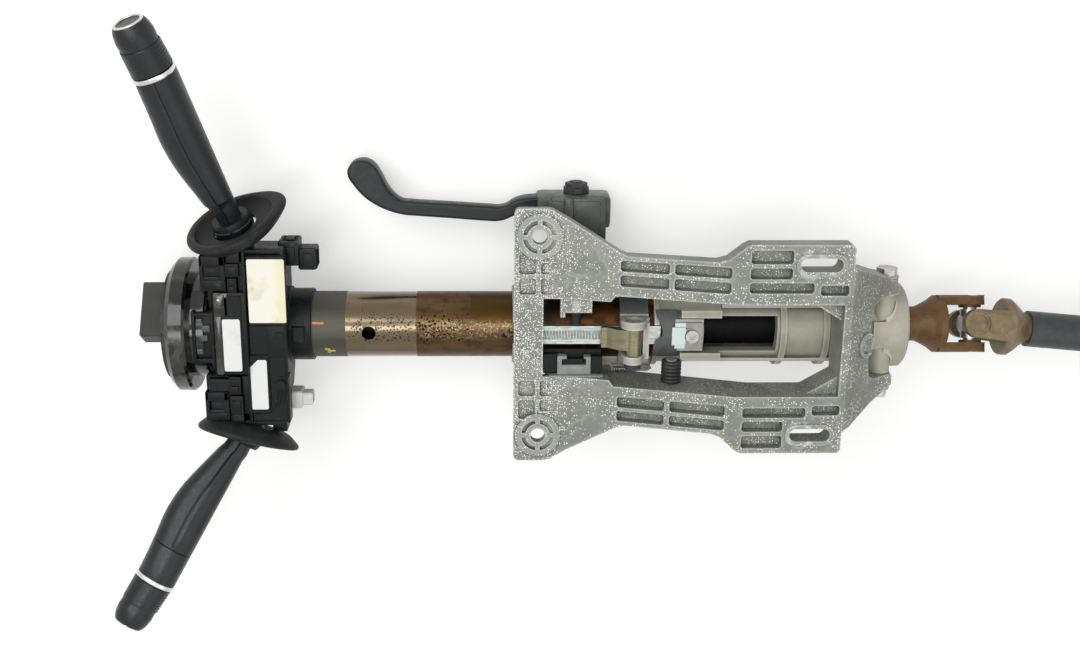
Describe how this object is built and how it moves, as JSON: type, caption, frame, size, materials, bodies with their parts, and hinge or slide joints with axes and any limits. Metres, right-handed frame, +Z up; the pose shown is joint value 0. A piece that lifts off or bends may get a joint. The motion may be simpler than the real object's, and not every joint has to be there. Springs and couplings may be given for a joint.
{
  "type": "steering column",
  "caption": "Steering column with rake and reach adjustment, cast bracket, clamp lever, rack and pawl, switch module with two stalks, and a jointed intermediate shaft.",
  "frame": {"origin": "end face of the steering wheel spline, on the steering axis", "axes": "+X runs down the column towards the steering gear, +Y to the driver's left, +Z up, out of the bracket's bolting face"},
  "size_m": [0.8512, 0.3904, 0.1269],
  "materials": {
    "cast_aluminium": "matte",
    "zinc_steel": "satin",
    "bearing_steel": "satin",
    "spindle_steel": "satin",
    "black_rubber": "matte",
    "dark_steel": "satin",
    "grey_clip": "matte",
    "black_plastic": "matte",
    "gloss_black": "gloss",
    "natural_nylon": "satin",
    "white_plastic": "satin",
    "pawl_steel": "satin",
    "rusted_steel": "matte",
    "rack_steel": "satin",
    "tan_steel": "satin",
    "black_painted": "satin"
  },
  "bodies": {
    "bracket": {"mounting_bracket": "cast_aluminium", "rake_pivot_bolts": "zinc_steel", "rake_stop_pin": "black_rubber", "balance_spring": "dark_steel", "harness_clip": "grey_clip", "clip_insert": "black_plastic"},
    "column": {"guide_housing": "cast_aluminium", "guide_bush": "natural_nylon", "slot_plate": "dark_steel", "travel_stop": "zinc_steel", "stop_screw": "zinc_steel", "pawl_bracket": "cast_aluminium", "pawl_pin": "zinc_steel", "lower_bearing_outer": "bearing_steel", "end_bush": "natural_nylon", "clamp_bolt": "zinc_steel", "clamp_nut": "zinc_steel", "fixed_cam": "dark_steel"},
    "lever": {"clamp_lever": "black_plastic", "lever_cam": "dark_steel"},
    "pawl": {"lock_pawl": "pawl_steel"},
    "jacket": {"jacket_tube": "rusted_steel", "rack_strip": "rack_steel", "tube_collar": "black_plastic", "upper_bearing_outer": "bearing_steel", "switch_carrier": "black_plastic", "module_cover": "black_plastic", "module_screws": "zinc_steel", "angle_sensor": "black_plastic", "left_switch_box": "black_plastic", "right_switch_box": "black_plastic", "left_boot": "black_rubber", "right_boot": "black_rubber", "harness_connector": "black_plastic", "white_connector": "white_plastic", "clock_spring_housing": "gloss_black"},
    "wheel_shaft": {"upper_spindle": "spindle_steel", "clock_spring_rotor": "black_plastic", "upper_bearing_inner": "bearing_steel"},
    "drive_shaft": {"lower_spindle": "spindle_steel", "spindle_sleeve": "black_plastic", "lower_bearing_inner": "bearing_steel", "upper_yoke": "rusted_steel"},
    "cross_a": {"upper_cross": "bearing_steel"},
    "shaft": {"shaft_tube": "black_painted", "shaft_yoke": "tan_steel"},
    "slip": {"slip_shaft": "spindle_steel", "slip_yoke": "black_painted"},
    "cross_b": {"lower_cross": "bearing_steel"},
    "pinch": {"pinch_yoke": "black_painted", "pinch_bolt": "zinc_steel"},
    "left_base": {"left_gimbal": "black_plastic"},
    "left_arm": {"left_stalk": "black_plastic"},
    "left_dial": {"left_knob": "black_plastic"},
    "left_push": {"left_button": "black_plastic"},
    "right_base": {"right_gimbal": "black_plastic"},
    "right_arm": {"right_stalk": "black_plastic"},
    "right_dial": {"right_knob": "black_plastic"},
    "right_push": {"right_button": "black_plastic"}
  },
  "joints": [
    {"name": "rake", "type": "hinge", "parent": "bracket", "child": "column", "pos_m": [0.48, 0, 0.018], "axis": [0, -1, 0], "range_deg": [0, 4.5]},
    {"name": "reach", "type": "slide", "parent": "column", "child": "jacket", "axis": [1, 0, 0], "range_m": [-0.045, 0.006]},
    {"name": "lever_swing", "type": "hinge", "parent": "column", "child": "lever", "pos_m": [0.2815, 0, -0.029], "axis": [0, -1, 0], "range_deg": [0, 50]},
    {"name": "pawl_lift", "type": "hinge", "parent": "column", "child": "pawl", "pos_m": [0.3156, 0, 0.033], "axis": [0, 1, 0], "range_deg": [0, 15]},
    {"name": "wheel_turn", "type": "hinge", "parent": "jacket", "child": "wheel_shaft", "pos_m": [0.01, 0, 0], "axis": [1, 0, 0], "range_deg": [-540, 540]},
    {"name": "drive_turn", "type": "hinge", "parent": "column", "child": "drive_shaft", "pos_m": [0.47, 0, 0], "axis": [1, 0, 0], "range_deg": [-540, 540]},
    {"name": "joint_a_first", "type": "hinge", "parent": "drive_shaft", "child": "cross_a", "pos_m": [0.545, 0, 0], "axis": [0, 0.9537, -0.3007], "range_deg": [-25, 25]},
    {"name": "joint_a_second", "type": "hinge", "parent": "cross_a", "child": "shaft", "pos_m": [0.545, 0, 0], "axis": [0, 0.3007, 0.9537], "range_deg": [-20, 30]},
    {"name": "shaft_slip", "type": "slide", "parent": "shaft", "child": "slip", "axis": [0.9962, -0.0831, 0.0262], "range_m": [-0.02, 0.02]},
    {"name": "joint_b_first", "type": "hinge", "parent": "slip", "child": "cross_b", "pos_m": [0.77412, -0.01912, 0.00603], "axis": [0, 0.3007, 0.9537], "range_deg": [-30, 20]},
    {"name": "joint_b_second", "type": "hinge", "parent": "cross_b", "child": "pinch", "pos_m": [0.77412, -0.01912, 0.00603], "axis": [0, 0.9537, -0.3007], "range_deg": [-25, 25]},
    {"name": "left_signal", "type": "hinge", "parent": "jacket", "child": "left_base", "pos_m": [0.064, 0.07, 0.018], "axis": [1, 0, 0], "range_deg": [-8, 8], "stiffness_Nm_per_rad": 6},
    {"name": "left_flash", "type": "hinge", "parent": "left_base", "child": "left_arm", "pos_m": [0.064, 0.07, 0.018], "axis": [0, 0, 1], "range_deg": [-4, 6], "stiffness_Nm_per_rad": 6},
    {"name": "left_twist", "type": "hinge", "parent": "left_arm", "child": "left_dial", "pos_m": [0.02706, 0.17728, 0.05707], "axis": [-0.3078, 0.894, 0.3256], "range_deg": [-30, 30]},
    {"name": "left_press", "type": "slide", "parent": "left_arm", "child": "left_push", "axis": [0.3078, -0.894, -0.3256], "range_m": [0, 0.002], "stiffness_N_per_m": 800},
    {"name": "right_signal", "type": "hinge", "parent": "jacket", "child": "right_base", "pos_m": [0.064, -0.07, 0.018], "axis": [-1, 0, 0], "range_deg": [-8, 8], "stiffness_Nm_per_rad": 6},
    {"name": "right_flash", "type": "hinge", "parent": "right_base", "child": "right_arm", "pos_m": [0.064, -0.07, 0.018], "axis": [0, 0, -1], "range_deg": [-4, 6], "stiffness_Nm_per_rad": 6},
    {"name": "right_twist", "type": "hinge", "parent": "right_arm", "child": "right_dial", "pos_m": [0.0022, -0.16516, 0.05707], "axis": [-0.515, -0.793, 0.3256], "range_deg": [-30, 30]},
    {"name": "right_press", "type": "slide", "parent": "right_arm", "child": "right_push", "axis": [0.515, 0.793, -0.3256], "range_m": [0, 0.002], "stiffness_N_per_m": 800}
  ],
  "couplings": [
    {"joint": "pawl_lift", "follows": "lever_swing", "ratio": 0.24},
    {"joint": "drive_turn", "follows": "wheel_turn", "ratio": 1}
  ]
}
